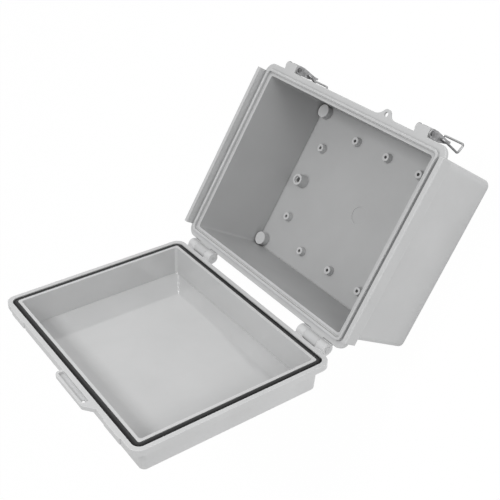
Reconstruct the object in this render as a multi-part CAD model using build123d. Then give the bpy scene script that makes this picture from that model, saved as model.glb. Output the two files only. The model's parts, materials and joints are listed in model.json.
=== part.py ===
from build123d import *
import math
import os

# Weatherproof electrical box: a deep moulded body, a shallow moulded cover on two hinges along one
# long side, and two steel draw latches on the other. Lengths are in millimetres.
#
# The origin is the centre of the body's back face. X runs along the hinge line, Y from the hinges
# to the latches and Z out of the back towards the opening. The cover is modelled shut and then
# swung open about the hinge line, as the box is stored.

# Opening and body walls
opening_length = 200.0
opening_width = 153.0
opening_corner = 2.4
body_depth = 82.6
body_floor = 4.7
body_inner_draft = 1.3
body_back_length = 205.4
body_back_width = 155.4
body_wall = 3.2
body_corner = 6.0
back_edge_round = 1.6

# Flange round the opening, with the seal rib that stands on it
flange_length = 221.8
flange_width = 174.0
flange_corner = 9.0
flange_thickness = 3.0
flange_edge_chamfer = 0.6
seal_half_length = 104.6
seal_half_width = 80.7
seal_corner = 4.2
rib_width = 2.2
rib_height = 3.2
rib_chamfer = 0.5
lip_groove_offset = 1.9
lip_groove_width = 0.9
lip_groove_depth = 0.3
channel_depth = 1.4

# Fences that flank the cover's rim on the two short sides
fence_thickness = 4.1
fence_half_length = 78.4
fence_front = 6.7
fence_back = 5.5
fence_round = 1.0

# Standoffs, bosses and posts on the body's floor
standoff_radius = 3.5
standoff_base_radius = 4.6
standoff_height = 4.6
standoff_hole_radius = 1.5
standoff_hole_depth = 7.2
outer_standoff_x = 40.6
outer_standoff_y = 56.9
side_standoff_x = 75.7
side_standoff_y = 36.3
boss_x = 79.6
boss_radius = 5.3
boss_base_radius = 6.4
boss_height = 9.5
boss_hole_radius = 2.5
boss_hole_depth = 11.5
boss_counterbore_radius = 3.5
boss_counterbore_depth = 1.6
post_x = 91.6
post_y = 68.2
post_radius = 6.2
post_height = 7.0
back_hole_radius = 2.1
back_hole_depth = 9.0
gate_mark_radius = 8.2
gate_mark_depth = 0.4

# Cover
cover_depth = 29.9
cover_top = 4.0
cover_inner_draft = 1.9
cover_top_length = 203.0
cover_top_width = 153.8
cover_wall = 2.9
cover_hinge_wall_extra = 3.0
cover_corner = 5.0
cover_edge_round = 2.0
rim_length = 221.2
rim_width = 173.4
rim_corner = 8.8
rim_height = 6.4
rim_edge_chamfer = 0.9
catch_width = 24.0
catch_reach = 0.9
cover_mouth_play = 0.2
cover_mouth_step = 0.8
rim_gap = 0.3

# Seal in the cover's rim
groove_width = 4.6
groove_depth = 4.4
gasket_width = 4.0
gasket_recess = 0.7

# Hinges
open_angle = 121.75
hinge_offset = 5.63
knuckle_radius = 4.8
hinge_inset = 47.1
inner_knuckle = 8.4
middle_knuckle = 15.7
outer_knuckle = 9.6
knuckle_gap = 0.25
hinge_pin_radius = 2.0
hinge_pin_clearance = 0.05
hinge_pin_head_radius = 2.5
hinge_pin_head = 0.7
knuckle_root = 2.0
heel_gap = 0.25
heel_drop = 0.4

# Latch ears on the body, one pair of steel pieces on each
latch_inset = 30.1
latch_shift = 1.2
ridge_thickness = 2.6
ridge_reach = 7.2
ridge_round = 2.4
ear_width = 13.6
ear_web_inset = 1.0
latch_pin_drop = 4.0
latch_pin_reach = 4.2
latch_pin_radius = 1.2
latch_pin_clearance = 0.05
latch_pin_head_radius = 1.9
latch_pin_head = 0.5

# Lever, pressed from steel sheet
sheet = 0.8
sheet_gap = 0.2
lever_clearance = 0.25
wing_radius = 3.7
lever_start = 4.0
lever_length = 25.0
lever_lean = 10.0
lever_lip = 1.0
lever_lip_inset = 1.0
wing_length = 13.0
wing_taper = 10.5
wing_tip_depth = 1.6

# Wire bail
wire_radius = 0.9
wire_bend = 2.0
wire_side_gap = 1.85
bail_pivot_drop = 12.8
bail_pivot_in = 0.6
bail_elbow_out = 4.0
bail_elbow_rise = 22.6
bail_bar_inset = 1.2
bail_wall_gap = 1.0
bail_rim_gap = 0.5
bail_hole_clearance = 0.05

# Sealing ear on the body and the lift tab on the cover, with one hole through both
seal_hole_x = 40.8
seal_hole_radius = 2.0
seal_hole_reach = 2.1
seal_ear_radius = 4.4
seal_ear_thickness = 2.0
seal_ear_root_wide = 10.0
seal_ear_root_tight = 6.0
tab_start = 1.5
tab_end = 55.5
tab_shoulder = 9.0
tab_reach = 7.0
tab_height = 3.6
tab_corner = 3.0
tab_wall = 2.0
tab_pocket_depth = 2.6
tab_pocket_corner = 1.5

# How far a cutting body runs past the face that it opens
cut_past = 1.0

# Levels and lines that several pieces share
lip_z = body_depth
floor_z = body_floor
rim_z = lip_z + rim_gap
hinge_y = -(flange_width / 2 + hinge_offset)
flange_y = flange_width / 2
flange_x = flange_length / 2
hinge_start = flange_x - hinge_inset
latch_pin_y = flange_y + latch_pin_reach
latch_pin_z = lip_z - latch_pin_drop
seal_hole_y = flange_y + seal_hole_reach
ear_radius = wing_radius - sheet - sheet_gap
wing_outside = ear_width / 2 + lever_clearance + sheet
hinge_line = Axis((0, hinge_y, lip_z), (1, 0, 0))


def rounded_block(length, width, corner, bottom, height):
    """A block with rounded upright edges, centred on the Z axis."""
    outline = Pos(0, 0, bottom) * RectangleRounded(length, width, corner)
    return extrude(outline, amount=height)


def drafted_block(lower, upper, bottom, height):
    """A block that changes from one rounded rectangle to another on the way up."""
    sections = [
        Pos(0, 0, bottom) * RectangleRounded(*lower),
        Pos(0, 0, bottom + height) * RectangleRounded(*upper),
    ]
    return loft(sections)


def ring(half_length, half_width, corner, width, bottom, height):
    """A rectangular ring about a centre line, with rounded corners."""
    outer = rounded_block(
        2 * half_length + width, 2 * half_width + width, corner + width / 2, bottom, height
    )
    inner = rounded_block(
        2 * half_length - width, 2 * half_width - width, corner - width / 2, bottom, height
    )
    return outer - inner


def upright(x, y, bottom, radius, height, top_radius=None):
    """A round post, straight or tapered."""
    if top_radius is None:
        solid = Cylinder(radius, height, align=(Align.CENTER, Align.CENTER, Align.MIN))
    else:
        solid = Cone(radius, top_radius, height, align=(Align.CENTER, Align.CENTER, Align.MIN))
    return Pos(x, y, bottom) * solid


def bar_x(start, end, y, z, radius):
    """A round bar along X."""
    bar = Cylinder(radius, end - start, align=(Align.CENTER, Align.CENTER, Align.MIN))
    return Pos(start, y, z) * Rot(0, 90, 0) * bar


def block(x_range, y_range, z_range):
    """A plain block between pairs of limits."""
    size = [high - low for low, high in (x_range, y_range, z_range)]
    corner = [low for low, high in (x_range, y_range, z_range)]
    return Pos(*corner) * Box(*size, align=(Align.MIN, Align.MIN, Align.MIN))


def side_plate(points, start, end):
    """A plate whose outline is drawn in the YZ plane and which runs along X."""
    outline = make_face(Polyline(*[(start, y, z) for y, z in points], close=True))
    return extrude(outline, amount=end - start, dir=(1, 0, 0))


def standoffs():
    """Every standoff position on the floor, as centre points."""
    rows = [(sx * outer_standoff_x, sy * outer_standoff_y) for sx in (-1, 0, 1) for sy in (-1, 1)]
    sides = [(sx * side_standoff_x, sy * side_standoff_y) for sx in (-1, 1) for sy in (-1, 1)]
    return rows + sides


def hinge_spans(side):
    """X limits of the inner, middle and outer knuckle and of the pin's head on one side."""
    inner = (hinge_start, hinge_start + inner_knuckle)
    middle = (inner[1] + knuckle_gap, inner[1] + knuckle_gap + middle_knuckle)
    outer = (middle[1] + knuckle_gap, middle[1] + knuckle_gap + outer_knuckle)
    head = (outer[1], outer[1] + hinge_pin_head)
    spans = (inner, middle, outer, head)
    return [tuple(sorted((side * low, side * high))) for low, high in spans]


def knuckle(span, root_low, root_high):
    """A hinge knuckle with the web that joins it to its flange or rim."""
    start, end = span
    barrel = bar_x(start, end, hinge_y, lip_z, knuckle_radius)
    web = block((start, end), (hinge_y, -flange_y + knuckle_root), (root_low, root_high))
    return barrel + web


def latch_center(side):
    """The middle of a latch along X; both latches stand a little towards the same end."""
    return side * (flange_x - latch_inset) - latch_shift


def latch_ear(center):
    """The moulded latch ear: a front ridge over a rounded lug that carries the latch pin."""
    half_ear = ear_width / 2
    ridge = block(
        (center - half_ear, center + half_ear),
        (flange_y - flange_thickness, flange_y + ridge_reach),
        (lip_z - ridge_thickness, lip_z),
    )
    outer_edges = ridge.edges().filter_by(Axis.Z).group_by(Axis.Y)[-1]
    ridge = fillet(outer_edges, ridge_round)
    lug = bar_x(center - half_ear, center + half_ear, latch_pin_y, latch_pin_z, ear_radius)
    wall_y = opening_width / 2 + body_wall / 2
    web = block(
        (center - half_ear, center + half_ear),
        (wall_y, latch_pin_y - ear_web_inset),
        (latch_pin_z - ear_radius, lip_z - ridge_thickness / 2),
    )
    return ridge + lug + web


def make_body_shell():
    """The moulded body with everything that is moulded in one with it."""
    back = (body_back_length, body_back_width, body_corner)
    front = (opening_length + 2 * body_wall, opening_width + 2 * body_wall, body_corner)
    shell = drafted_block(back, front, 0, body_depth)
    shell = fillet(shell.edges().group_by(Axis.Z)[0], back_edge_round)

    plate_z = lip_z - flange_thickness
    flange = rounded_block(flange_length, flange_width, flange_corner, plate_z, flange_thickness)
    flange = chamfer(flange.faces().sort_by(Axis.Z)[-1].edges(), flange_edge_chamfer)
    shell += flange

    for side in (-1, 1):
        fence = block(
            tuple(sorted((side * (flange_x - fence_round), side * (flange_x + fence_thickness)))),
            (-fence_half_length, fence_half_length),
            (lip_z - fence_back, lip_z + fence_front),
        )
        outer = fence.faces().sort_by(Axis.X)[-1 if side > 0 else 0]
        fence = fillet(outer.edges(), fence_round)
        shell += fence

    rib = ring(seal_half_length, seal_half_width, seal_corner, rib_width, lip_z, rib_height)
    rib = chamfer(rib.faces().sort_by(Axis.Z)[-1].edges(), rib_chamfer)
    shell += rib

    lip_groove = ring(
        seal_half_length - lip_groove_offset,
        seal_half_width - lip_groove_offset,
        opening_corner,
        lip_groove_width,
        lip_z - lip_groove_depth,
        lip_groove_depth + cut_past,
    )
    shell -= lip_groove

    channel_inner = seal_half_length + rib_width / 2
    for side in (-1, 1):
        shell -= block(
            tuple(sorted((side * channel_inner, side * flange_x))),
            (-fence_half_length, fence_half_length),
            (lip_z - channel_depth, lip_z + fence_front + cut_past),
        )

    for side in (-1, 1):
        shell += latch_ear(latch_center(side))
        shell += knuckle(hinge_spans(side)[1], lip_z - knuckle_radius, lip_z)

    shell += seal_ear()

    floor_outline = (
        opening_length - 2 * body_inner_draft,
        opening_width - 2 * body_inner_draft,
        opening_corner,
    )
    mouth_outline = (opening_length, opening_width, opening_corner)
    shell -= drafted_block(floor_outline, mouth_outline, floor_z, body_depth - body_floor)

    for x, y in standoffs():
        shell += upright(x, y, floor_z, standoff_base_radius, standoff_height, standoff_radius)
    for side in (-1, 1):
        shell += upright(side * boss_x, 0, floor_z, boss_base_radius, boss_height, boss_radius)
    for sx in (-1, 1):
        for sy in (-1, 1):
            shell += upright(sx * post_x, sy * post_y, floor_z, post_radius, post_height)

    hole_z = floor_z + standoff_height - standoff_hole_depth
    for x, y in standoffs():
        shell -= upright(x, y, hole_z, standoff_hole_radius, standoff_hole_depth)
    boss_z = floor_z + boss_height
    for side in (-1, 1):
        x = side * boss_x
        shell -= upright(x, 0, boss_z - boss_hole_depth, boss_hole_radius, boss_hole_depth)
        shell -= upright(
            x, 0, boss_z - boss_counterbore_depth, boss_counterbore_radius, boss_counterbore_depth
        )
    for sx in (-1, 1):
        for sy in (-1, 1):
            shell -= upright(sx * post_x, sy * post_y, 0, back_hole_radius, back_hole_depth)
    shell -= upright(0, 0, floor_z - gate_mark_depth, gate_mark_radius, gate_mark_depth)

    bore = hinge_pin_radius + hinge_pin_clearance
    half_ear = ear_width / 2
    for side in (-1, 1):
        start, end = hinge_spans(side)[1]
        shell -= bar_x(start, end, hinge_y, lip_z, bore)
        center = latch_center(side)
        shell -= bar_x(
            center - half_ear,
            center + half_ear,
            latch_pin_y,
            latch_pin_z,
            latch_pin_radius + latch_pin_clearance,
        )
    shell -= upright(
        seal_hole_x, seal_hole_y, lip_z - flange_thickness, seal_hole_radius, flange_thickness
    )
    return shell


def seal_ear():
    """The small ear on the latch side's flange, blended into its edge, before its hole."""
    bottom = lip_z - seal_ear_thickness
    ear = upright(seal_hole_x, seal_hole_y, bottom, seal_ear_radius, seal_ear_thickness)
    for side, root in ((-1, seal_ear_root_wide), (1, seal_ear_root_tight)):
        rise = root - seal_hole_reach
        span = seal_ear_radius + root
        foot = seal_hole_x + side * math.sqrt(span**2 - rise**2)
        neck = block(
            tuple(sorted((seal_hole_x, foot))),
            (flange_y - flange_edge_chamfer, seal_hole_y + rise * seal_ear_radius / span),
            (bottom, lip_z),
        )
        ear += neck - upright(foot, flange_y + root, bottom, root, seal_ear_thickness)
    return ear


def lift_tab():
    """The lift tab on the cover's rim, hollowed from the rim's face, before its hole."""
    rim_y = rim_width / 2
    outline = Polyline(
        (tab_start, rim_y - tab_wall, rim_z),
        (tab_start, rim_y + tab_reach, rim_z),
        (tab_end - tab_shoulder, rim_y + tab_reach, rim_z),
        (tab_end, rim_y, rim_z),
        (tab_end, rim_y - tab_wall, rim_z),
        close=True,
    )
    tab = extrude(make_face(outline), amount=tab_height, dir=(0, 0, 1))
    tab = fillet(tab.edges().filter_by(Axis.Z).group_by(Axis.Y)[-1], tab_corner)
    pocket = block(
        (tab_start + tab_wall, tab_end - tab_shoulder - tab_wall),
        (rim_y, rim_y + tab_reach - tab_wall),
        (rim_z, rim_z + tab_pocket_depth),
    )
    return tab - fillet(pocket.edges().filter_by(Axis.Z), tab_pocket_corner)


def latch_catch(center):
    """The thicker stretch of the cover's rim that a wire bail hooks over."""
    half = catch_width / 2
    rim_y = rim_width / 2
    catch = block(
        (center - half, center + half),
        (rim_y - rim_edge_chamfer - catch_reach, rim_y + catch_reach),
        (rim_z, rim_z + rim_height),
    )
    catch = fillet(catch.edges().filter_by(Axis.Z).group_by(Axis.Y)[-1], catch_reach)
    return chamfer(catch.faces().sort_by(Axis.Z)[-1].edges().group_by(Axis.Y)[-1], rim_edge_chamfer)


def make_cover_shell():
    """The moulded cover, in the place that it has when the box is shut."""
    mouth_length = opening_length - cover_mouth_play
    mouth_width = opening_width - cover_mouth_step
    foot_width = mouth_width + 2 * cover_wall + cover_hinge_wall_extra
    foot = (mouth_length + 2 * cover_wall, foot_width, cover_corner)
    top = (cover_top_length, cover_top_width + cover_hinge_wall_extra, cover_corner)
    shell = Pos(0, -cover_hinge_wall_extra / 2, 0) * drafted_block(foot, top, rim_z, cover_depth)
    shell = fillet(shell.edges().group_by(Axis.Z)[-1], cover_edge_round)

    rim = rounded_block(rim_length, rim_width, rim_corner, rim_z, rim_height)
    rim = chamfer(rim.faces().sort_by(Axis.Z)[-1].edges(), rim_edge_chamfer)
    shell += rim
    shell += lift_tab()

    for side in (-1, 1):
        shell += latch_catch(latch_center(side))
        inner, middle, outer, head = hinge_spans(side)
        for span in (inner, outer):
            shell += knuckle(span, rim_z, rim_z + knuckle_radius)
            shell += stop_heel(span)

    shell -= ring(
        seal_half_length, seal_half_width, seal_corner, groove_width, rim_z, groove_depth
    )
    mouth = (mouth_length, mouth_width, opening_corner)
    ceiling = (
        mouth_length - 2 * cover_inner_draft,
        mouth_width - 2 * cover_inner_draft,
        opening_corner,
    )
    shell -= drafted_block(mouth, ceiling, rim_z, cover_depth - cover_top)

    bore = hinge_pin_radius + hinge_pin_clearance
    for side in (-1, 1):
        inner, middle, outer, head = hinge_spans(side)
        for start, end in (inner, outer):
            shell -= bar_x(start, end, hinge_y, lip_z, bore)
    shell -= upright(seal_hole_x, seal_hole_y, rim_z, seal_hole_radius, tab_height)
    return shell.rotate(hinge_line, open_angle)


def stop_heel(span):
    """The heel on a cover knuckle that meets the body's flange when the cover is fully open."""
    start, end = span
    reach = -flange_y - heel_gap
    heel = block((start, end), (hinge_y, reach), (lip_z - flange_thickness, lip_z - heel_drop))
    return heel.rotate(hinge_line, -open_angle)


def make_gasket():
    """The endless seal that lies in the cover's groove."""
    height = groove_depth - gasket_recess
    bottom = rim_z + gasket_recess
    seal = ring(seal_half_length, seal_half_width, seal_corner, gasket_width, bottom, height)
    return seal.rotate(hinge_line, open_angle)


def make_hinge_pin(side):
    """One hinge pin with its head on the outer end."""
    inner, middle, outer, head = hinge_spans(side)
    start = min(inner[0], outer[0])
    end = max(inner[1], outer[1])
    shaft = bar_x(start, end, hinge_y, lip_z, hinge_pin_radius)
    cap = bar_x(head[0], head[1], hinge_y, lip_z, hinge_pin_head_radius)
    return shaft + cap


def make_latch_pin(center):
    """The pin through a latch ear, with a head outside each wing of the lever."""
    half_shaft = wing_outside + lever_clearance
    shaft = bar_x(
        center - half_shaft, center + half_shaft, latch_pin_y, latch_pin_z, latch_pin_radius
    )
    for side in (-1, 1):
        low, high = sorted((side * half_shaft, side * (half_shaft + latch_pin_head)))
        shaft += bar_x(
            center + low, center + high, latch_pin_y, latch_pin_z, latch_pin_head_radius
        )
    return shaft


def lever_line(depth):
    """The two ends of the lever's plate, at a depth below its outer face."""
    slope = math.tan(math.radians(lever_lean))
    outer_y = latch_pin_y + wing_radius - depth
    run = lever_length - lever_start
    return [
        (outer_y, latch_pin_z - lever_start),
        (outer_y - run * slope, latch_pin_z - lever_length),
    ]


def bail_pivot():
    """The line about which the bail turns, as Y and Z at rest."""
    return latch_pin_y - bail_pivot_in, latch_pin_z - bail_pivot_drop


def bail_hang():
    """How far the left bail has swung in, in degrees, its elbows just clear of the body's wall."""
    pivot_y, pivot_z = bail_pivot()
    wall_y = max(body_back_width, opening_width + 2 * body_wall) / 2
    room = pivot_y - wall_y - bail_wall_gap - wire_radius
    lean = math.atan2(bail_elbow_out, bail_elbow_rise)
    swing = math.asin(room / math.hypot(bail_elbow_out, bail_elbow_rise))
    return math.degrees(swing - lean)


def make_lever(center):
    """One lever: a leaning plate with a lip to lift it by, and a wing down each side."""
    half = wing_outside
    plate = side_plate(lever_line(0) + lever_line(sheet)[::-1], center - half, center + half)
    tip_y, tip_z = lever_line(0)[-1]
    lip = side_plate(
        [
            (tip_y, tip_z + sheet),
            (tip_y + lever_lip, tip_z - lever_lip + sheet / 2),
            (tip_y + lever_lip - sheet * 0.7, tip_z - lever_lip - sheet * 0.3),
            (tip_y - sheet, tip_z),
        ],
        center - half + lever_lip_inset,
        center + half - lever_lip_inset,
    )
    lever = plate + lip

    low_y = latch_pin_y - wing_radius
    plate_y = latch_pin_y + wing_radius - sheet / 2
    full_z = latch_pin_z - wing_length
    end_z = full_z - wing_taper
    slope = math.tan(math.radians(lever_lean))
    end_y = plate_y - slope * (wing_length + wing_taper - lever_start)
    wing_points = [
        (plate_y, latch_pin_z),
        (low_y, latch_pin_z),
        (low_y, full_z),
        (end_y - wing_tip_depth, end_z),
        (end_y, end_z),
        (plate_y, latch_pin_z - lever_start),
    ]
    pivot_y, pivot_z = bail_pivot()
    for side in (-1, 1):
        low, high = sorted((side * half, side * (half - sheet)))
        wing = side_plate(wing_points, center + low, center + high)
        wing += bar_x(center + low, center + high, latch_pin_y, latch_pin_z, wing_radius)
        wing -= bar_x(
            center + low,
            center + high,
            latch_pin_y,
            latch_pin_z,
            latch_pin_radius + latch_pin_clearance,
        )
        wing -= bar_x(
            center + low, center + high, pivot_y, pivot_z, wire_radius + bail_hole_clearance
        )
        lever += wing
    return lever


def bend_corner(before, corner, after):
    """Two points that replace a square corner of the wire by a short slanted run."""
    towards = (Vector(*before) - Vector(*corner)).normalized() * wire_bend
    onwards = (Vector(*after) - Vector(*corner)).normalized() * wire_bend
    return [Vector(*corner) + towards, Vector(*corner) + onwards]


def make_bail(center, hang):
    """One wire bail, drawn hooked over the cover's catch and then turned down to hang at rest.

    The hang is the angle by which it has swung in towards the body, in degrees.
    """
    pivot_y, pivot_z = bail_pivot()
    half = wing_outside + wire_side_gap + wire_radius
    inside = wing_outside - sheet - lever_clearance
    elbow_y = pivot_y + bail_elbow_out
    elbow_z = pivot_z + bail_elbow_rise
    bar_y = rim_width / 2 + catch_reach - bail_bar_inset
    bar_z = rim_z + rim_height + bail_rim_gap + wire_radius
    left = [
        (center - inside, pivot_y, pivot_z),
        (center - half, pivot_y, pivot_z),
        (center - half, elbow_y, elbow_z),
        (center - half, bar_y, bar_z),
    ]
    right = [(2 * center - x, y, z) for x, y, z in reversed(left)]
    points = left[:-1] + bend_corner(left[-2], left[-1], right[0])
    points += bend_corner(left[-1], right[0], right[1]) + right[1:]
    path = Polyline(*points)
    section = Plane(origin=path @ 0, z_dir=path % 0) * Circle(wire_radius)
    wire = sweep(section, path=path, transition=Transition.RIGHT)
    return wire.rotate(Axis((0, pivot_y, pivot_z), (1, 0, 0)), 180 - hang)


def write(name, shape):
    """Write one piece to its own file."""
    export_step(shape.solid(), f"parts/{name}.step")


def main():
    os.makedirs("parts", exist_ok=True)
    write("body_shell", make_body_shell())
    write("cover_shell", make_cover_shell())
    write("gasket", make_gasket())
    for name, side, hang in (("left", -1, bail_hang()), ("right", 1, 0)):
        center = latch_center(side)
        write(f"hinge_pin_{name}", make_hinge_pin(side))
        write(f"latch_pin_{name}", make_latch_pin(center))
        write(f"latch_lever_{name}", make_lever(center))
        write(f"latch_bail_{name}", make_bail(center, hang))


main()
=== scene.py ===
import json
import math

import bpy
import numpy as np
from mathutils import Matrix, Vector


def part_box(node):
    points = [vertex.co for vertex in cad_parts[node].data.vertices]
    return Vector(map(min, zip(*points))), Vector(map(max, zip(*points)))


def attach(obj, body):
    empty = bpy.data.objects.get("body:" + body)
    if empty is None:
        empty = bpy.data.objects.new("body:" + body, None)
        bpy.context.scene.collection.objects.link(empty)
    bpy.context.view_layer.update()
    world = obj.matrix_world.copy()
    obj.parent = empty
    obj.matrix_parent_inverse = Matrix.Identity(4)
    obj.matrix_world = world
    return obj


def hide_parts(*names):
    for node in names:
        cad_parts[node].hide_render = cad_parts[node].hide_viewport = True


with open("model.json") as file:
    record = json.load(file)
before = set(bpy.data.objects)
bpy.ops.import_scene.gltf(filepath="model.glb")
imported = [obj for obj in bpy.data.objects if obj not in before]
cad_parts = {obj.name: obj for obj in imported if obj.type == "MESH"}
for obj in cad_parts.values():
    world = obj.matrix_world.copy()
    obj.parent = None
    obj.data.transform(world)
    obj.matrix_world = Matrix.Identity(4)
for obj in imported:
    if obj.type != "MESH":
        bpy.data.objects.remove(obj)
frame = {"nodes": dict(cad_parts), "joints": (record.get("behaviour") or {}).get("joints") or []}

bl_info = {
    "name": "Weatherproof electrical box",
    "version": (1, 0, 0),
    "blender": (4, 5, 0),
    "location": "View3D > Sidebar > Box",
    "description": "Finishes a moulded electrical box with a sealed cover and steel draw latches",
    "category": "Object",
}

MM = 0.001
SIDES = ("left", "right")
JOINTS = {joint["name"]: joint for joint in frame["joints"]}

# Places that come from the frame: the hinge line, and how far the cover stands open
HINGE_Y, HINGE_Z = JOINTS["cover_hinge"]["pos_m"][1:]
OPEN_ANGLE = -math.radians(JOINTS["cover_hinge"]["range_deg"][0])

# Degrees from a wire that stands straight up to one that hangs straight down
STRAIGHT_DOWN = 180.0

BLACK = (0.0, 0.0, 0.0, 1.0)
WHITE = (1.0, 1.0, 1.0, 1.0)

# Strength of the moulded grain's relief, and how much of it is left on the cover's smooth inside
GRAIN_STRENGTH = 0.6
SMOOTH_RELIEF = 0.08

# Share of the fine noise in the grain's height, and how coarse the other noise and the specks are
FINE_SHARE = 0.65
COARSE_GRAIN = 0.31
SPECK_GRAIN = 0.55

# Share and tone of the dark specks in the moulded grey
SPECK_SHARE = 0.12
SPECK_TONE = 0.72

# The part of each field, from low to high, that becomes a mask from nought to one
DRIFT_RANGE = (0.3, 0.7)
SPECK_RANGE = (0.70, 0.78)
SMUDGE_RANGE = (0.35, 0.7)
OPEN_SKY_RANGE = (0.25, 0.95)
SKYWARD_RANGE = (0.1, 0.9)
# Outward share of the seal's front over which its painted light fades
PAINTED_SEAL_LIGHT_RANGE = (0.15, 0.70)

# How the roughness of a moulding drifts about its setting, and how much less it is on edges
ROUGHER = 0.05
SMOOTHER = 0.03
EDGE_SMOOTHING = 0.1

# Normals that count as facing up, and a place's distance times its normal that counts as facing in
FACING_UP = 0.9
FACING_IN = -0.05

# Parts of the mouldings that differ: painted shade inside the body and the cover, painted light on the
# post tops and the fences' inner walls, a smoother finish inside the cover. Two corners each in
# millimetres, the cover's when shut, and the fences' for both ends at once
BODY_INSIDE = ((-100.2, -76.7, 4.0), (100.2, 76.7, 82.4))
FENCES = ((104.6, -0.1, 76.0), (116.0, 90.0, 96.0))
POST_TOPS = ((-100.2, -76.7, 8.9), (100.2, 76.7, 14.6))
COVER_INSIDE = ((-100.1, -76.3, 83.2), (100.1, 76.3, 112.0))

# Rubber: its grain and relief, the least of its bloom, and its smoothest and roughest skin
RUBBER_GRAIN_PER_METRE = 3000.0
RUBBER_STRENGTH = 0.7
RUBBER_DEPTH = 0.03 * MM
LEAST_BLOOM = 0.6
RUBBER_ROUGHNESS = (0.55, 0.72)

# Steel: tone of its pale lines and dull smudges beside its colour, the most of its smudges and of
# its painted light where it faces up, how coarse the smudges are, its relief, and how its roughness
# drifts
STEEL_PALE = 1.5
STEEL_DULL = 0.45
STEEL_SMUDGE = 0.8
PAINTED_STEEL_LIGHT = 0.30
SMUDGE_GRAIN = 0.05
STEEL_STRENGTH = 0.35
STEEL_DEPTH = 0.01 * MM
STEEL_SMOOTHER = 0.06
STEEL_ROUGHER = 0.12

# Along which axes the lines of each steel are drawn out: low where they run
SHEET_LINES = (0.06, 1.0, 1.0)
WIRE_LINES = (1.0, 1.0, 0.08)
PIN_LINES = (1.0, 1.0, 1.0)

# Steps round the seal's corners and edges, the wire's bends and its girth, and its rounded tips
CORNER_STEPS = 10
EDGE_STEPS = 5
BEND_STEPS = 9
GIRTH_STEPS = 20
TIP_STEPS = 5

# How far a tip is drawn in, in wire radii, and a direction that no part of the wire runs in
TIP_LENGTH = 0.5
CROSSWISE = (0.13, 1.0, -0.31)

# Each lamp's name, place and size, and the point that they all face
LAMPS = (
    ("top", (0.0, 0.15, 1.54), 0.35),
    ("side", (0.15, 1.25, 0.62), 0.6),
    ("front", (1.08, 0.42, 0.62), 0.5),
)
LAMP_TARGET = (0.0, 0.0, 0.05)

# Half the floor's side, the camera's sensor in millimetres, and how far it sees
FLOOR_HALF = 4.0
SENSOR = 36.0
FAR_CLIP = 50.0

# Rays that the look of an edge and the painted shade of a crease take
EDGE_RAYS = 6
CREASE_RAYS = 8

# Sockets of a Mix node that blends colours: its other kinds have sockets by the same names
MIX_FIRST, MIX_SECOND, MIX_RESULT = 6, 7, 2

# Width of the plain ring that the finished seal replaces, and the name of the seal's share outward
SEAL_WIDTH = 4.0 * MM
OUTWARD = "outward"


def colour_property(name, description, default):
    """A colour setting with the usual limits."""
    return bpy.props.FloatVectorProperty(
        name=name, description=description, subtype="COLOR", size=3, min=0.0, max=1.0, default=default
    )


def length_property(name, description, default):
    """A length setting in metres."""
    return bpy.props.FloatProperty(
        name=name, description=description, subtype="DISTANCE", unit="LENGTH", min=0.0, default=default
    )


def share_property(name, description, default):
    """A setting between nought and one."""
    return bpy.props.FloatProperty(
        name=name, description=description, subtype="FACTOR", min=0.0, max=1.0, default=default
    )


class BoxMouldingSettings(bpy.types.PropertyGroup):
    """Finish of the moulded body, cover and hinge pins."""

    body_colour: colour_property("Body colour", "Pale grey of the body", (0.515, 0.518, 0.520))
    cover_colour: colour_property("Cover colour", "Pale grey of the cover", (0.580, 0.583, 0.585))
    roughness: share_property("Roughness", "Satin finish of the outside", 0.46)
    inner_roughness: share_property("Inner roughness", "Smoother finish inside the cover", 0.07)
    inner_gloss: share_property("Inner gloss", "How strongly the inside of the cover mirrors", 1.0)
    # Painted shade: the body's inside is drawn darker than its outside
    painted_inner_shade: share_property("Inner dimming", "How much darker the body is inside", 0.10)
    # Painted shade: the cover's inside is drawn darker than its outside
    painted_cover_inner_shade: share_property("Cover dimming", "How much darker the cover is inside", 0.09)
    grain_size: length_property("Grain size", "Size of the fine moulded grain", 0.45 * MM)
    grain_height: length_property("Grain height", "Depth of the fine moulded grain", 0.012 * MM)
    mottle: share_property("Mottle", "How much the grey drifts over the surface", 0.03)
    # Edges are smoother, and paler partly from wear and partly as a painted highlight
    edge_width: length_property("Edge width", "Reach of the polished edges", 0.45 * MM)
    edge_wear_and_highlight: share_property("Edge lift", "How much paler the edges are", 0.55)
    # Painted shade: the crease mask darkens the colour of the body, its fences and the cover
    crease_reach: length_property("Crease reach", "How near two faces shade each other", 2.2 * MM)
    painted_crease_shade: share_property("Crease dimming", "How much darker the body's creases are", 0.36)
    painted_fence_crease_shade: share_property("Fence creases", "How much darker the fences' creases are", 0.02)
    painted_cover_crease_shade: share_property("Cover creases", "How much darker the cover's creases are", 0.14)
    # Painted light: the tops of the posts, bosses and standoffs are drawn paler
    painted_top_light: share_property("Top lift", "How much paler the tops of the posts are", 0.16)
    # Painted light: the fences' inner walls are drawn paler
    painted_fence_light: share_property("Fence lift", "How much paler the fences' inner walls are", 0.18)


class BoxSealSettings(bpy.types.PropertyGroup):
    """Size and finish of the rubber seal in the cover."""

    width: length_property("Width", "Width of the seal", 4.5 * MM)
    corner: length_property("Corner radius", "Radius of the seal's centre line", 4.2 * MM)
    edge_round: length_property("Edge rounding", "Rounding of its two front edges", 0.6 * MM)
    swell: length_property("Swell", "How far its inner edge stands up in the groove", 0.55 * MM)
    fall: length_property("Fall", "How much lower its outer edge lies", 0.7 * MM)
    colour: colour_property("Colour", "Near black of the rubber", (0.003, 0.003, 0.003))
    bloom: colour_property("Bloom", "Pale bloom on the rubber", (0.060, 0.060, 0.061))
    gloss: share_property("Gloss", "How strongly the rubber mirrors", 0.25)


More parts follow.
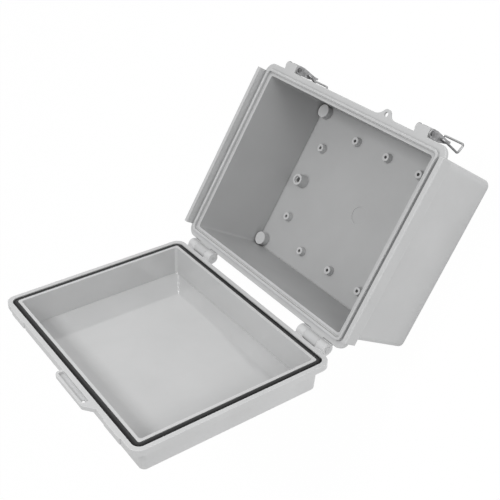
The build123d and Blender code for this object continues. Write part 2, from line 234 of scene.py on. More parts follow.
class BoxLatchSettings(bpy.types.PropertyGroup):
    """Size and finish of the latches' steel."""

    wire_radius: length_property("Wire radius", "Half the thickness of the wire", 0.9 * MM)
    wire_bend: length_property("Wire bend", "Bend radius of the wire's square corners", 2.0 * MM)
    elbow_out: length_property("Elbow reach", "Outward reach of the wire's elbow", 4.0 * MM)
    elbow_rise: length_property("Elbow rise", "Length of the wire's legs", 22.6 * MM)
    bar_in: length_property("Bar reach", "Inward reach of the wire's crossbar", 4.2 * MM)
    bar_rise: length_property("Bar rise", "Distance of the crossbar from the pivot", 24.9 * MM)
    tail: length_property("Tail", "Length of the wire's ends through the lever", 3.8 * MM)
    steel: colour_property("Steel", "Colour of the rolled sheet", (0.32, 0.32, 0.325))
    wire: colour_property("Wire steel", "Colour of the drawn wire", (0.22, 0.22, 0.225))
    roughness: share_property("Roughness", "Roughness of the rolled sheet", 0.30)


class BoxStageSettings(bpy.types.PropertyGroup):
    """Camera and light."""

    camera_place: bpy.props.FloatVectorProperty(
        name="Camera place",
        description="Where the camera stands",
        subtype="XYZ",
        unit="LENGTH",
        size=3,
        default=(0.508951, 0.078732, 0.628796),
    )
    camera_turn: bpy.props.FloatVectorProperty(
        name="Camera turn",
        description="The camera's Euler angles",
        subtype="EULER",
        unit="ROTATION",
        size=3,
        default=(math.radians(15.4001), math.radians(43.3353), math.radians(36.9796)),
    )
    lens: bpy.props.FloatProperty(
        name="Lens",
        description="Focal length in millimetres",
        subtype="DISTANCE_CAMERA",
        default=64.413,
    )
    shift_x: bpy.props.FloatProperty(
        name="Shift X", description="Sideways shift of the picture", default=0.001
    )
    shift_y: bpy.props.FloatProperty(
        name="Shift Y", description="Upward shift of the picture", default=0.0008
    )
    dome: bpy.props.FloatProperty(
        name="Dome", description="Level of the even light all round", min=0.0, default=0.50
    )
    top: bpy.props.FloatProperty(
        name="Top lamp", description="Power of the lamp overhead", subtype="POWER", min=0.0, default=8.8
    )
    side: bpy.props.FloatProperty(
        name="Side lamp", description="Power of the low lamp", subtype="POWER", min=0.0, default=1.3
    )
    front: bpy.props.FloatProperty(
        name="Front lamp", description="Power of the third lamp", subtype="POWER", min=0.0, default=3.8
    )
    glow: share_property("Table glow", "Light that the floor gives off", 0.18)
    floor: colour_property("Floor colour", "Colour of the floor", (0.85, 0.85, 0.85))
    paper: share_property("Paper white", "How much of the floor's white needs no light", 0.98)


SETTINGS = {
    "box_moulding": BoxMouldingSettings,
    "box_seal": BoxSealSettings,
    "box_latch": BoxLatchSettings,
    "box_stage": BoxStageSettings,
}


def mesh_from_grid(name, points, close_rows=True):
    """A mesh from an array of rows by columns of points, each cell one four-sided face.

    Point (i, j) is joined to (i + 1, j), (i + 1, j + 1) and (i, j + 1), and the last column to the
    first. So is the last row, or else the first and the last row get one face each.
    """
    rows, columns = points.shape[:2]
    row = np.arange(rows if close_rows else rows - 1)
    i, j = np.meshgrid(row, np.arange(columns), indexing="ij")
    next_i = (i + 1) % rows
    next_j = (j + 1) % columns
    corners = (i * columns + j, next_i * columns + j, next_i * columns + next_j, i * columns + next_j)
    faces = np.stack([corner.ravel() for corner in corners], axis=1).tolist()
    if not close_rows:
        last = (rows - 1) * columns + np.arange(columns)
        faces += [list(range(columns)), last[::-1].tolist()]
    mesh = bpy.data.meshes.new(name)
    mesh.from_pydata(points.reshape(-1, 3).tolist(), [], faces)
    mesh.shade_smooth()
    return mesh


def add_piece(name, mesh, material, body, node):
    """A finished piece: its object, its material, the body it rides on and the node it stands for."""
    piece = bpy.data.objects.new(name, mesh)
    bpy.context.scene.collection.objects.link(piece)
    mesh.materials.append(material)
    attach(piece, body)
    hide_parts(node)


def turn_about_x(points, angle, y, z):
    """Points turned about a line parallel to X: the rotation of their (Y, Z) about (y, z)."""
    cos, sin = math.cos(angle), math.sin(angle)
    dy = points[..., 1] - y
    dz = points[..., 2] - z
    turned = points.copy()
    turned[..., 1] = y + dy * cos - dz * sin
    turned[..., 2] = z + dy * sin + dz * cos
    return turned


def node_points(node):
    """A CAD node's vertices as an array."""
    mesh = frame["nodes"][node].data
    flat = np.empty(3 * len(mesh.vertices))
    mesh.vertices.foreach_get("co", flat)
    return flat.reshape(-1, 3)


class Tree:
    """A node tree that is filled by short calls."""

    def __init__(self, tree):
        self.nodes = tree.nodes
        self.links = tree.links

    def add(self, kind, values=None, **options):
        """A node with its options set and its sockets given values or linked."""
        node = self.nodes.new(kind)
        for key, value in options.items():
            setattr(node, key, value)
        for key, value in (values or {}).items():
            self.feed(node.inputs[key], value)
        return node

    def feed(self, socket, value):
        """Links an output to a socket, or sets the socket's own value."""
        if isinstance(value, bpy.types.NodeSocket):
            self.links.new(value, socket)
        else:
            socket.default_value = value

    def math(self, operation, first, second, clamp=False):
        """One arithmetic step."""
        values = {0: first, 1: second}
        return self.add("ShaderNodeMath", values, operation=operation, use_clamp=clamp).outputs[0]

    def mix(self, factor, first, second):
        """A blend of two colours."""
        values = {"Factor": factor, MIX_FIRST: first, MIX_SECOND: second}
        return self.add("ShaderNodeMix", values, data_type="RGBA").outputs[MIX_RESULT]

    def noise(self, vector, scale, detail=2.0, roughness=0.5):
        """A noise field from nought to one."""
        values = {"Vector": vector, "Scale": scale, "Detail": detail, "Roughness": roughness}
        return self.add("ShaderNodeTexNoise", values).outputs["Fac"]

    def remap(self, value, low, high, to_low, to_high):
        """A value's range stretched to another, clamped at its ends."""
        values = {
            "Value": value,
            "From Min": low,
            "From Max": high,
            "To Min": to_low,
            "To Max": to_high,
        }
        return self.add("ShaderNodeMapRange", values).outputs["Result"]

    def share(self, value, bounds):
        """How far a value has come from a low bound to a high one, from nought to one."""
        return self.remap(value, *bounds, 0.0, 1.0)

    def between(self, share, first, last):
        """The number that lies a share of the way from a first one to a last one."""
        return self.remap(share, 0.0, 1.0, first, last)


def rgba(colour):
    """A colour with full opacity."""
    return (*colour, 1.0)


def new_group(name, inputs, outputs):
    """A shader node group with named sockets, its tree and its two ends."""
    group = bpy.data.node_groups.new(name, "ShaderNodeTree")
    kinds = {"value": "NodeSocketFloat", "vector": "NodeSocketVector"}
    for label, kind, default in inputs:
        socket = group.interface.new_socket(label, in_out="INPUT", socket_type=kinds[kind])
        socket.default_value = default
    for label, kind in outputs:
        group.interface.new_socket(label, in_out="OUTPUT", socket_type=kinds[kind])
    tree = Tree(group)
    start = tree.add("NodeGroupInput")
    end = tree.add("NodeGroupOutput")
    return group, tree, start.outputs, end.inputs


def moulded_grain_group():
    """Fine grain of a moulding as a height for bump, the slow drift of its grey, and its specks."""
    inputs = (("Grain per metre", "value", 2200.0), ("Drift per metre", "value", 22.0))
    outputs = (("Height", "value"), ("Drift", "value"), ("Specks", "value"))
    group, tree, start, end = new_group("moulded_grain", inputs, outputs)
    place = tree.add("ShaderNodeTexCoord").outputs["Object"]
    fine = tree.noise(place, start["Grain per metre"], detail=3.0, roughness=0.6)
    coarse = tree.noise(place, tree.math("MULTIPLY", start["Grain per metre"], COARSE_GRAIN))
    fine_part = tree.math("MULTIPLY", fine, FINE_SHARE)
    coarse_part = tree.math("MULTIPLY", coarse, 1.0 - FINE_SHARE)
    drift = tree.noise(place, start["Drift per metre"], detail=4.0, roughness=0.55)
    sparse = tree.math("MULTIPLY", start["Grain per metre"], SPECK_GRAIN)
    specks = tree.noise(place, sparse, detail=1.0)
    tree.feed(end["Height"], tree.math("ADD", fine_part, coarse_part))
    tree.feed(end["Drift"], tree.share(drift, DRIFT_RANGE))
    tree.feed(end["Specks"], tree.share(specks, SPECK_RANGE))
    return group


def edge_polish_and_highlight_group():
    """A mask that is one on edges, where the bevelled normal leaves the true normal: it places wear and
    a painted highlight.
    """
    inputs = (("Width", "value", 0.6 * MM), ("Gain", "value", 3.0))
    group, tree, start, end = new_group("edge_polish", inputs, (("Edge", "value"),))
    bevel = tree.add("ShaderNodeBevel", {"Radius": start["Width"]}, samples=EDGE_RAYS)
    true_normal = tree.add("ShaderNodeNewGeometry").outputs["Normal"]
    normals = {0: bevel.outputs["Normal"], 1: true_normal}
    dot = tree.add("ShaderNodeVectorMath", normals, operation="DOT_PRODUCT")
    departure = tree.math("SUBTRACT", 1.0, dot.outputs["Value"])
    tree.feed(end["Edge"], tree.math("MULTIPLY", departure, start["Gain"], clamp=True))
    return group


def crease_group():
    """A mask that is one deep in creases and holes, where near faces close off the open sky: where
    shade is painted.
    """
    inputs = (("Reach", "value", 3.0 * MM),)
    group, tree, start, end = new_group("crease", inputs, (("Crease", "value"),))
    reach = {"Distance": start["Reach"]}
    open_sky = tree.add("ShaderNodeAmbientOcclusion", reach, samples=CREASE_RAYS)
    closed = tree.math("SUBTRACT", 1.0, tree.share(open_sky.outputs["AO"], OPEN_SKY_RANGE))
    tree.feed(end["Crease"], closed)
    return group


def rolled_grain_group():
    """Lines of rolled or drawn steel: noise stretched along one axis, as height, tone and smudges."""
    inputs = (("Stretch", "vector", (1.0, 1.0, 1.0)), ("Lines per metre", "value", 5000.0))
    outputs = (("Height", "value"), ("Tone", "value"), ("Smudge", "value"))
    group, tree, start, end = new_group("rolled_grain", inputs, outputs)
    place = tree.add("ShaderNodeTexCoord").outputs["Object"]
    factors = {0: place, 1: start["Stretch"]}
    stretched = tree.add("ShaderNodeVectorMath", factors, operation="MULTIPLY").outputs["Vector"]
    lines = tree.noise(stretched, start["Lines per metre"])
    coarse = tree.math("MULTIPLY", start["Lines per metre"], SMUDGE_GRAIN)
    smudge = tree.noise(place, coarse, detail=4.0, roughness=0.6)
    tree.feed(end["Height"], lines)
    tree.feed(end["Tone"], tree.share(lines, DRIFT_RANGE))
    tree.feed(end["Smudge"], tree.share(smudge, SMUDGE_RANGE))
    return group


def inside_box_group():
    """A mask that is one between two opposite corners of a box."""
    inputs = (
        ("Place", "vector", (0.0, 0.0, 0.0)),
        ("Low", "vector", (0.0, 0.0, 0.0)),
        ("High", "vector", (1.0, 1.0, 1.0)),
    )
    group, tree, start, end = new_group("inside_box", inputs, (("Inside", "value"),))
    room = []
    for first, second in (("Place", "Low"), ("High", "Place")):
        ends = {0: start[first], 1: start[second]}
        gap = tree.add("ShaderNodeVectorMath", ends, operation="SUBTRACT").outputs["Vector"]
        room += list(tree.add("ShaderNodeSeparateXYZ", {"Vector": gap}).outputs)
    least = room[0]
    for other in room[1:]:
        least = tree.math("MINIMUM", least, other)
    tree.feed(end["Inside"], tree.math("GREATER_THAN", least, 0.0))
    return group


def use_group(tree, name, build, values):
    """One use of a shader node group in a material, built the first time that it's asked for."""
    group = bpy.data.node_groups.get(name) or build()
    node = tree.add("ShaderNodeGroup")
    node.node_tree = group
    for key, value in values.items():
        tree.feed(node.inputs[key], value)
    return node.outputs


def new_material(name):
    """An empty material with a Principled BSDF, and its tree."""
    material = bpy.data.materials.new(name)
    material.use_nodes = True
    tree = Tree(material.node_tree)
    shader = material.node_tree.nodes["Principled BSDF"]
    return material, tree, shader


def inside_mask(tree, place, region):
    """Where a surface lies in a region that is given by two corners in millimetres."""
    low, high = region
    values = {"Place": place, "Low": [MM * c for c in low], "High": [MM * c for c in high]}
    return use_group(tree, "inside_box", inside_box_group, values)["Inside"]


def fence_mask(tree):
    """Where a surface belongs to the fences, which are alike at both ends and both ways along them."""
    place = tree.add("ShaderNodeTexCoord").outputs["Object"]
    away = tree.add("ShaderNodeVectorMath", {0: place}, operation="ABSOLUTE").outputs["Vector"]
    return inside_mask(tree, away, FENCES)


def body_painted_crease_shade(tree, settings):
    """How much painted shade darkens the body's creases: less on its fences."""
    return tree.between(fence_mask(tree), settings.painted_crease_shade, settings.painted_fence_crease_shade)


def cover_painted_crease_shade(tree, settings):
    """How much painted shade darkens the cover's creases."""
    return settings.painted_cover_crease_shade


def body_painted_light_and_shade(tree, tone, rough, height, settings):
    """A body with painted shade that makes it a little darker inside than outside, and painted light
    that makes its post tops and the fences' inner walls paler.
    """
    place = tree.add("ShaderNodeTexCoord").outputs
    normal = tree.add("ShaderNodeSeparateXYZ", {"Vector": place["Normal"]}).outputs
    facing_up = tree.math("GREATER_THAN", normal["Z"], FACING_UP)
    across = tree.add("ShaderNodeSeparateXYZ", {"Vector": place["Object"]}).outputs["X"]
    facing_in = tree.math("LESS_THAN", tree.math("MULTIPLY", normal["X"], across), FACING_IN)
    # Painted light: tops of posts, bosses and standoffs that face up are drawn paler
    tops = tree.math("MULTIPLY", inside_mask(tree, place["Object"], POST_TOPS), facing_up)
    inside = tree.math("SUBTRACT", inside_mask(tree, place["Object"], BODY_INSIDE), tops)
    # Painted shade: the colour inside the body is drawn towards black
    dimmed = tree.mix(tree.math("MULTIPLY", inside, settings.painted_inner_shade), tone, BLACK)
    top = tree.math("MULTIPLY", tops, settings.painted_top_light)
    # Painted light: the fences' inner walls are drawn paler
    walls = tree.math("MULTIPLY", fence_mask(tree), facing_in)
    lift = tree.math("ADD", top, tree.math("MULTIPLY", walls, settings.painted_fence_light))
    return tree.mix(lift, dimmed, WHITE), rough, height, 0.0


def cover_finish(tree, tone, rough, height, settings):
    """A cover whose inside is smooth enough to mirror its walls and darkened as painted shade, found in
    its shut place.
    """
    place = tree.add("ShaderNodeTexCoord").outputs["Object"]
    hinge = {"Vector": place, "Center": (0.0, HINGE_Y, HINGE_Z), "Angle": -OPEN_ANGLE}
    shut = tree.add("ShaderNodeVectorRotate", hinge, rotation_type="X_AXIS").outputs["Vector"]
    inside = inside_mask(tree, shut, COVER_INSIDE)
    # Painted shade: the colour inside the cover is drawn towards black
    dimmed = tree.mix(tree.math("MULTIPLY", inside, settings.painted_cover_inner_shade), tone, BLACK)
    ends = {"Factor": inside, "A": rough, "B": settings.inner_roughness}
    smooth = tree.add("ShaderNodeMix", ends).outputs["Result"]
    relief = tree.math("MULTIPLY", height, tree.between(inside, 1.0, SMOOTH_RELIEF))
    coat = tree.math("MULTIPLY", inside, settings.inner_gloss)
    return dimmed, smooth, relief, coat


def moulded_material(name, colour, creases, finish, settings):
    """Satin moulded plastic: fine grain, slow drift of the grey, darker specks, smoother edges that are
    paler partly from wear and partly as a painted highlight.

    The two functions say how much painted shade darkens the creases, and finish the parts that differ,
    with painted light and shade and the cover's smoother inside.
    """
    roughness = settings.roughness
    material, tree, shader = new_material(name)
    per_metre = {"Grain per metre": 1.0 / settings.grain_size}
    grain = use_group(tree, "moulded_grain", moulded_grain_group, per_metre)
    width = {"Width": settings.edge_width}
    edge = use_group(tree, "edge_polish", edge_polish_and_highlight_group, width)["Edge"]
    crease = use_group(tree, "crease", crease_group, {"Reach": settings.crease_reach})["Crease"]
    pale = rgba([c * (1.0 + settings.mottle) for c in colour])
    dark = rgba([c * (1.0 - settings.mottle) for c in colour])
    speck = rgba([c * SPECK_TONE for c in colour])
    wear_and_highlight = rgba([c + (1.0 - c) * settings.edge_wear_and_highlight for c in colour])
    drift = tree.mix(grain["Drift"], dark, pale)
    specked = tree.mix(tree.math("MULTIPLY", grain["Specks"], SPECK_SHARE), drift, speck)
    # Painted shade: the colour is drawn towards black in creases, holes and corners
    shaded = tree.mix(tree.math("MULTIPLY", crease, creases(tree, settings)), specked, BLACK)
    # Paler edges: partly wear, partly a painted highlight
    edged = tree.mix(edge, shaded, wear_and_highlight)
    rough = tree.between(grain["Drift"], roughness + ROUGHER, roughness - SMOOTHER)
    rough = tree.math("SUBTRACT", rough, tree.math("MULTIPLY", edge, EDGE_SMOOTHING))
    tone, rough, height, coat = finish(tree, edged, rough, grain["Height"], settings)
    values = {"Height": height, "Strength": GRAIN_STRENGTH, "Distance": settings.grain_height}
    bump = tree.add("ShaderNodeBump", values)
    tree.feed(shader.inputs["Base Color"], tone)
    tree.feed(shader.inputs["Roughness"], rough)
    tree.feed(shader.inputs["Coat Weight"], coat)
    shader.inputs["Coat Roughness"].default_value = settings.inner_roughness
    tree.feed(shader.inputs["Normal"], bump.outputs["Normal"])
    return material


def rubber_material(settings):
    """Black rubber: fine pitted skin with a pale bloom, and painted light that keeps the bloom on the
    inner half of its front.
    """
    material, tree, shader = new_material("seal_rubber")
    per_metre = {"Grain per metre": RUBBER_GRAIN_PER_METRE}
    grain = use_group(tree, "moulded_grain", moulded_grain_group, per_metre)
    outward = tree.add("ShaderNodeAttribute", attribute_name=OUTWARD).outputs["Fac"]
    # Painted light: the bloom is kept to the inner half of the front, where the curved seal would be
    # lit
    inner = tree.math("SUBTRACT", 1.0, tree.share(outward, PAINTED_SEAL_LIGHT_RANGE))
    bloom = tree.math("MULTIPLY", tree.between(grain["Drift"], LEAST_BLOOM, 1.0), inner)
    tone = tree.mix(bloom, rgba(settings.colour), rgba(settings.bloom))
    values = {"Height": grain["Height"], "Strength": RUBBER_STRENGTH, "Distance": RUBBER_DEPTH}
    bump = tree.add("ShaderNodeBump", values)
    tree.feed(shader.inputs["Base Color"], tone)
    tree.feed(shader.inputs["Roughness"], tree.between(grain["Drift"], *RUBBER_ROUGHNESS))
    shader.inputs["Specular IOR Level"].default_value = settings.gloss
    tree.feed(shader.inputs["Normal"], bump.outputs["Normal"])
    return material


def steel_material(name, colour, roughness, stretch):
    """Rolled or drawn steel: fine lines along one axis, dull smudges, painted light where it faces up.
    """
    material, tree, shader = new_material(name)
    grain = use_group(tree, "rolled_grain", rolled_grain_group, {"Stretch": stretch})
    pale = rgba([min(1.0, c * STEEL_PALE) for c in colour])
    dull = rgba([c * STEEL_DULL for c in colour])
    lined = tree.mix(grain["Tone"], rgba(colour), pale)
    smudged = tree.mix(tree.math("MULTIPLY", grain["Smudge"], STEEL_SMUDGE), lined, dull)
    normal = tree.add("ShaderNodeTexCoord").outputs["Normal"]
    upward = tree.add("ShaderNodeSeparateXYZ", {"Vector": normal}).outputs["Z"]
    # Painted light: faces that look up are drawn towards white
    painted_sky_light = tree.math("MULTIPLY", tree.share(upward, SKYWARD_RANGE), PAINTED_STEEL_LIGHT)
    lit = tree.mix(painted_sky_light, smudged, WHITE)
    values = {"Height": grain["Height"], "Strength": STEEL_STRENGTH, "Distance": STEEL_DEPTH}
    bump = tree.add("ShaderNodeBump", values)
    rough = tree.between(grain["Smudge"], roughness - STEEL_SMOOTHER, roughness + STEEL_ROUGHER)
    tree.feed(shader.inputs["Base Color"], lit)
    tree.feed(shader.inputs["Roughness"], rough)
    tree.feed(shader.inputs["Normal"], bump.outputs["Normal"])
    shader.inputs["Metallic"].default_value = 1.0
    return material


def dress_node(node, material):
    """Gives a CAD node a material through its object's slots."""
    piece = frame["nodes"][node]
    if not piece.material_slots:
        piece.data.materials.append(material)
    for slot in piece.material_slots:
        slot.material = material


def rounded_rectangle(half_length, half_width, corner, corner_steps):
    """Points and outward directions round a rectangle with quarter-circle corners.

    Each corner is its centre plus the radius times (cos a, sin a), with a through a quarter turn.
    """
    turn = np.linspace(0.0, math.pi / 2, corner_steps)
    signs = np.array([(1, 1), (-1, 1), (-1, -1), (1, -1)])
    angle = turn[None, :] + np.arange(4)[:, None] * math.pi / 2
    out = np.stack([np.cos(angle), np.sin(angle)], axis=-1)
    centre = signs * (half_length - corner, half_width - corner)
    points = centre[:, None, :] + corner * out
    return points.reshape(-1, 2), out.reshape(-1, 2)


def seal_profile(half_width, height, edge_round, fall, steps):
    """The seal's section as (across, up): a flat foot, straight sides, two round front edges.

    Each front edge is a quarter circle, and the front falls outward with the square of the way.
    """
    turn = np.linspace(0.0, math.pi / 2, steps)
    across = half_width - edge_round + edge_round * np.cos(turn)
    up = height - edge_round + edge_round * np.sin(turn)
    right = np.stack([across, up], axis=1)
    left = np.stack([-across[::-1], up[::-1]], axis=1)
    flat = np.linspace(half_width - edge_round, edge_round - half_width, 2 * steps)[1:-1]
    top = np.stack([flat, np.full_like(flat, height)], axis=1)
    front = np.concatenate([right, top, left])
    front[:, 1] -= fall * (0.5 + 0.5 * front[:, 0] / half_width) ** 2
    return np.concatenate([[(half_width, 0.0)], front, [(-half_width, 0.0)]])


def seal_mesh(settings):
    """The seal: its section carried round a rounded rectangle, and turned open with the cover.

    The rectangle lies in the cover's place when shut, and is turned about the hinge line.
    """
    shut = turn_about_x(node_points("gasket"), -OPEN_ANGLE, HINGE_Y, HINGE_Z)
    low, high = shut.min(axis=0), shut.max(axis=0)
    middle = (low + high) / 2
    half = (high - low - SEAL_WIDTH) / 2
    path, out = rounded_rectangle(half[0], half[1], settings.corner, CORNER_STEPS)
    height = high[2] - low[2] + settings.swell
    section = seal_profile(
        settings.width / 2, height, settings.edge_round, settings.fall, EDGE_STEPS
    )
    flat = path[:, None, :] + out[:, None, :] * section[None, :, 0, None]
    up = np.broadcast_to(high[2] - section[:, 1], flat.shape[:2])
    points = np.concatenate([flat + middle[:2], up[..., None]], axis=2)
    mesh = mesh_from_grid("seal", turn_about_x(points, OPEN_ANGLE, HINGE_Y, HINGE_Z))
    outward = np.tile(section[:, 0] / settings.width + 0.5, len(path))
    mesh.attributes.new(OUTWARD, "FLOAT", "POINT").data.foreach_set("value", outward)
    return mesh


def rounded_line(points, radius, steps):
    """A line through points whose corners are arcs.

    Each arc leaves its two runs at radius times the tangent of half the turn from the corner, and
    its points are the corner's centre plus the radius turned evenly through the bend.
    """
    points = np.asarray(points, float)
    runs = np.diff(points, axis=0)
    ways = runs / np.linalg.norm(runs, axis=1)[:, None]
    before, after = ways[:-1], ways[1:]
    turn = np.arccos(np.clip((before * after).sum(axis=1), -1.0, 1.0))
    back = (radius * np.tan(turn / 2))[:, None]
    start = points[1:-1] - before * back
    inward = after - before * np.cos(turn)[:, None]
    inward /= np.linalg.norm(inward, axis=1)[:, None]
    angle = turn[:, None] * np.linspace(0.0, 1.0, steps)[None, :]
    along = radius * np.sin(angle)[..., None] * before[:, None, :]
    aside = radius * (1.0 - np.cos(angle))[..., None] * inward[:, None, :]
    arcs = start[:, None, :] + along + aside
    return np.concatenate([points[:1], arcs.reshape(-1, 3), points[-1:]])


def wire_mesh(name, line, radius, steps):
    """A round wire: a circle carried along a line, with its two ends drawn in to a rounded tip.

    Each ring lies across the line, on two directions kept steady by projecting one fixed
    direction; the last rings shrink by the cosine of a quarter turn.
    """
    tip = np.linspace(0.0, math.pi / 2, TIP_STEPS)[:-1]
    reach = radius * TIP_LENGTH
    way = np.gradient(line, axis=0)
    way /= np.linalg.norm(way, axis=1)[:, None]
    first = line[0] - way[0] * (reach * np.sin(tip[::-1]))[:, None] + way[0] * reach
    last = line[-1] + way[-1] * (reach * np.sin(tip))[:, None] - way[-1] * reach
    centres = np.concatenate([first, line[1:-1], last])
    rings = len(tip)
    ways = np.concatenate([np.repeat(way[:1], rings, 0), way[1:-1], np.repeat(way[-1:], rings, 0)])
    size = np.concatenate([np.cos(tip[::-1]), np.ones(len(line) - 2), np.cos(tip)]) * radius
    side = np.cross(ways, CROSSWISE)
    side /= np.linalg.norm(side, axis=1)[:, None]
    other = np.cross(ways, side)
    turn = np.linspace(0.0, 2 * math.pi, steps, endpoint=False)
    cos, sin = np.cos(turn)[None, :, None], np.sin(turn)[None, :, None]
    ring = side[:, None, :] * cos + other[:, None, :] * sin
    points = centres[:, None, :] + ring * size[:, None, None]
    return mesh_from_grid(name, points, close_rows=False)


def bail_line(side, settings):
    """The wire's line for one latch, drawn as it hooks over the cover and turned down to hang."""
    joint = JOINTS[f"bail_{side}_swing"]
    pivot = Vector(joint["pos_m"])
    hang = -joint["range_deg"][0] - STRAIGHT_DOWN
    low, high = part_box(f"latch_bail_{side}")
    half = (high.x - low.x) / 2 - settings.wire_radius
    legs = np.array(
        [
            (-half + settings.tail, 0.0, 0.0),
            (-half, 0.0, 0.0),
            (-half, settings.elbow_out, settings.elbow_rise),
            (-half, -settings.bar_in, settings.bar_rise),
        ]
    )
    other = legs[::-1] * (-1.0, 1.0, 1.0)
    corners = np.concatenate([legs, other]) + np.array(pivot)
    line = rounded_line(corners, settings.wire_bend, BEND_STEPS)
    return turn_about_x(line, math.radians(STRAIGHT_DOWN - hang), pivot.y, pivot.z)


class OBJECT_OT_box_mouldings(bpy.types.Operator):
    """Finish the moulded body, cover and hinge pins"""

    bl_idname = "object.box_mouldings"
    bl_label = "Mouldings"

    def execute(self, context):
        settings = context.scene.box_moulding
        body = moulded_material(
            "body_moulding", settings.body_colour, body_painted_crease_shade, body_painted_light_and_shade, settings
        )
        cover = moulded_material(
            "cover_moulding", settings.cover_colour, cover_painted_crease_shade, cover_finish, settings
        )
        dress_node("body_shell", body)
        dress_node("cover_shell", cover)
        for side in SIDES:
            dress_node(f"hinge_pin_{side}", body)
        return {"FINISHED"}


class OBJECT_OT_box_seal(bpy.types.Operator):
    """Lay the rubber seal in the cover's groove"""

    bl_idname = "object.box_seal"
    bl_label = "Seal"

    def execute(self, context):
        settings = context.scene.box_seal
        material = rubber_material(settings)
        add_piece("seal", seal_mesh(settings), material, "cover", "gasket")
        return {"FINISHED"}


class OBJECT_OT_box_levers(bpy.types.Operator):
    """Finish the pressed steel levers and their pins"""

    bl_idname = "object.box_levers"
    bl_label = "Levers"

    def execute(self, context):
        settings = context.scene.box_latch
        sheet = steel_material("lever_steel", settings.steel, settings.roughness, SHEET_LINES)
        pin = steel_material("pin_steel", settings.wire, settings.roughness, PIN_LINES)
        for side in SIDES:
            dress_node(f"latch_lever_{side}", sheet)
            dress_node(f"latch_pin_{side}", pin)
        return {"FINISHED"}


class OBJECT_OT_box_bails(bpy.types.Operator):
    """Bend the wire bails of the two latches"""

    bl_idname = "object.box_bails"
    bl_label = "Wire bails"

    def execute(self, context):
        settings = context.scene.box_latch
        material = steel_material("wire_steel", settings.wire, settings.roughness, WIRE_LINES)
        for side in SIDES:
            name = f"wire_bail_{side}"
            line = bail_line(side, settings)
            mesh = wire_mesh(name, line, settings.wire_radius, GIRTH_STEPS)
            add_piece(name, mesh, material, f"bail_{side}", f"latch_bail_{side}")
        return {"FINISHED"}


def add_camera(settings):
    """The camera, at the photograph's angle."""
    data = bpy.data.cameras.new("camera")
    data.lens = settings.lens
    data.sensor_width = SENSOR
    data.shift_x = settings.shift_x
    data.shift_y = settings.shift_y
    data.clip_end = FAR_CLIP
    camera = bpy.data.objects.new("camera", data)
    camera.location = settings.camera_place
    camera.rotation_euler = settings.camera_turn
    bpy.context.scene.collection.objects.link(camera)
    bpy.context.scene.camera = camera


def add_lamp(name, place, size, power):
    """A large square lamp that faces the object."""
    data = bpy.data.lights.new(name, "AREA")
    data.size = size
    data.energy = power
    lamp = bpy.data.objects.new(name, data)
    lamp.location = place
    way = Vector(LAMP_TARGET) - Vector(place)
    lamp.rotation_euler = way.to_track_quat("-Z", "Y").to_euler()
    bpy.context.scene.collection.objects.link(lamp)


def white_to_the_lens(tree):
    """One for rays that show the background: straight from the lens, mirrored or through glass."""
    path = tree.add("ShaderNodeLightPath").outputs
    seen = tree.math("MAXIMUM", path["Is Camera Ray"], path["Is Glossy Ray"])
    return tree.math("MAXIMUM", seen, path["Is Transmission Ray"])


def set_world(settings):
    """An even dome of light that shows as white."""
    world = bpy.data.worlds.new("dome")
    world.use_nodes = True
    bpy.context.scene.world = world
    tree = Tree(world.node_tree)
    background = world.node_tree.nodes["Background"]
    background.inputs["Color"].default_value = WHITE
    strength = tree.between(white_to_the_lens(tree), settings.dome, 1.0)
    tree.feed(background.inputs["Strength"], strength)


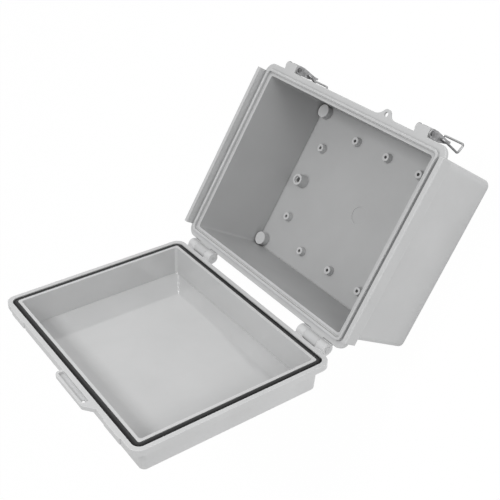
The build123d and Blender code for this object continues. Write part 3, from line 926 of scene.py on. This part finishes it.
def add_floor(settings):
    """A plain pale floor that keeps the object's shadow."""
    half = FLOOR_HALF
    corners = [(-half, -half, 0.0), (half, -half, 0.0), (half, half, 0.0), (-half, half, 0.0)]
    mesh = bpy.data.meshes.new("floor")
    mesh.from_pydata(corners, [], [(0, 1, 2, 3)])
    floor = bpy.data.objects.new("floor", mesh)
    bpy.context.scene.collection.objects.link(floor)
    material, tree, shader = new_material("floor_paper")
    mesh.materials.append(material)
    tree.nodes.remove(shader)
    diffuse = tree.add("ShaderNodeBsdfDiffuse", {"Color": rgba(settings.floor)})
    white = tree.add("ShaderNodeEmission", {"Color": WHITE, "Strength": 1.0})
    glow = tree.add("ShaderNodeEmission", {"Color": WHITE, "Strength": settings.glow})
    lit = tree.add("ShaderNodeAddShader", {0: diffuse.outputs[0], 1: glow.outputs[0]})
    share = tree.math("MULTIPLY", white_to_the_lens(tree), settings.paper)
    mix = tree.add("ShaderNodeMixShader", {0: share, 1: lit.outputs[0], 2: white.outputs[0]})
    tree.feed(tree.nodes["Material Output"].inputs["Surface"], mix.outputs[0])


class OBJECT_OT_box_stage(bpy.types.Operator):
    """Set up the camera, the light and the floor"""

    bl_idname = "object.box_stage"
    bl_label = "Stage"

    def execute(self, context):
        settings = context.scene.box_stage
        add_camera(settings)
        set_world(settings)
        add_floor(settings)
        for name, place, size in LAMPS:
            add_lamp(name, place, size, getattr(settings, name))
        context.scene.view_settings.view_transform = "Standard"
        return {"FINISHED"}


OPERATORS = (
    OBJECT_OT_box_mouldings,
    OBJECT_OT_box_seal,
    OBJECT_OT_box_levers,
    OBJECT_OT_box_bails,
    OBJECT_OT_box_stage,
)


class VIEW3D_PT_box(bpy.types.Panel):
    """Lists the settings and the steps of the box"""

    bl_idname = "VIEW3D_PT_box"
    bl_label = "Electrical box"
    bl_space_type = "VIEW_3D"
    bl_region_type = "UI"
    bl_category = "Box"

    def draw(self, context):
        for operator in OPERATORS:
            self.layout.operator(operator.bl_idname, text=operator.bl_label)
        for key in SETTINGS:
            settings = getattr(context.scene, key)
            column = self.layout.box().column()
            for name in settings.__annotations__:
                column.prop(settings, name)


def register():
    """Registers the classes and gives the scene its settings."""
    for group in SETTINGS.values():
        bpy.utils.register_class(group)
    for operator in OPERATORS:
        bpy.utils.register_class(operator)
    bpy.utils.register_class(VIEW3D_PT_box)
    for key, group in SETTINGS.items():
        setattr(bpy.types.Scene, key, bpy.props.PointerProperty(type=group))


def unregister():
    """Takes the settings and the classes away again."""
    for key in SETTINGS:
        delattr(bpy.types.Scene, key)
    bpy.utils.unregister_class(VIEW3D_PT_box)
    for operator in reversed(OPERATORS):
        bpy.utils.unregister_class(operator)
    for group in reversed(SETTINGS.values()):
        bpy.utils.unregister_class(group)


def main():
    """Dresses the part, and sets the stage."""
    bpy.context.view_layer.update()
    register()
    bpy.ops.object.box_mouldings()
    bpy.ops.object.box_seal()
    bpy.ops.object.box_levers()
    bpy.ops.object.box_bails()
    bpy.ops.object.box_stage()


if __name__ == "__main__":
    main()
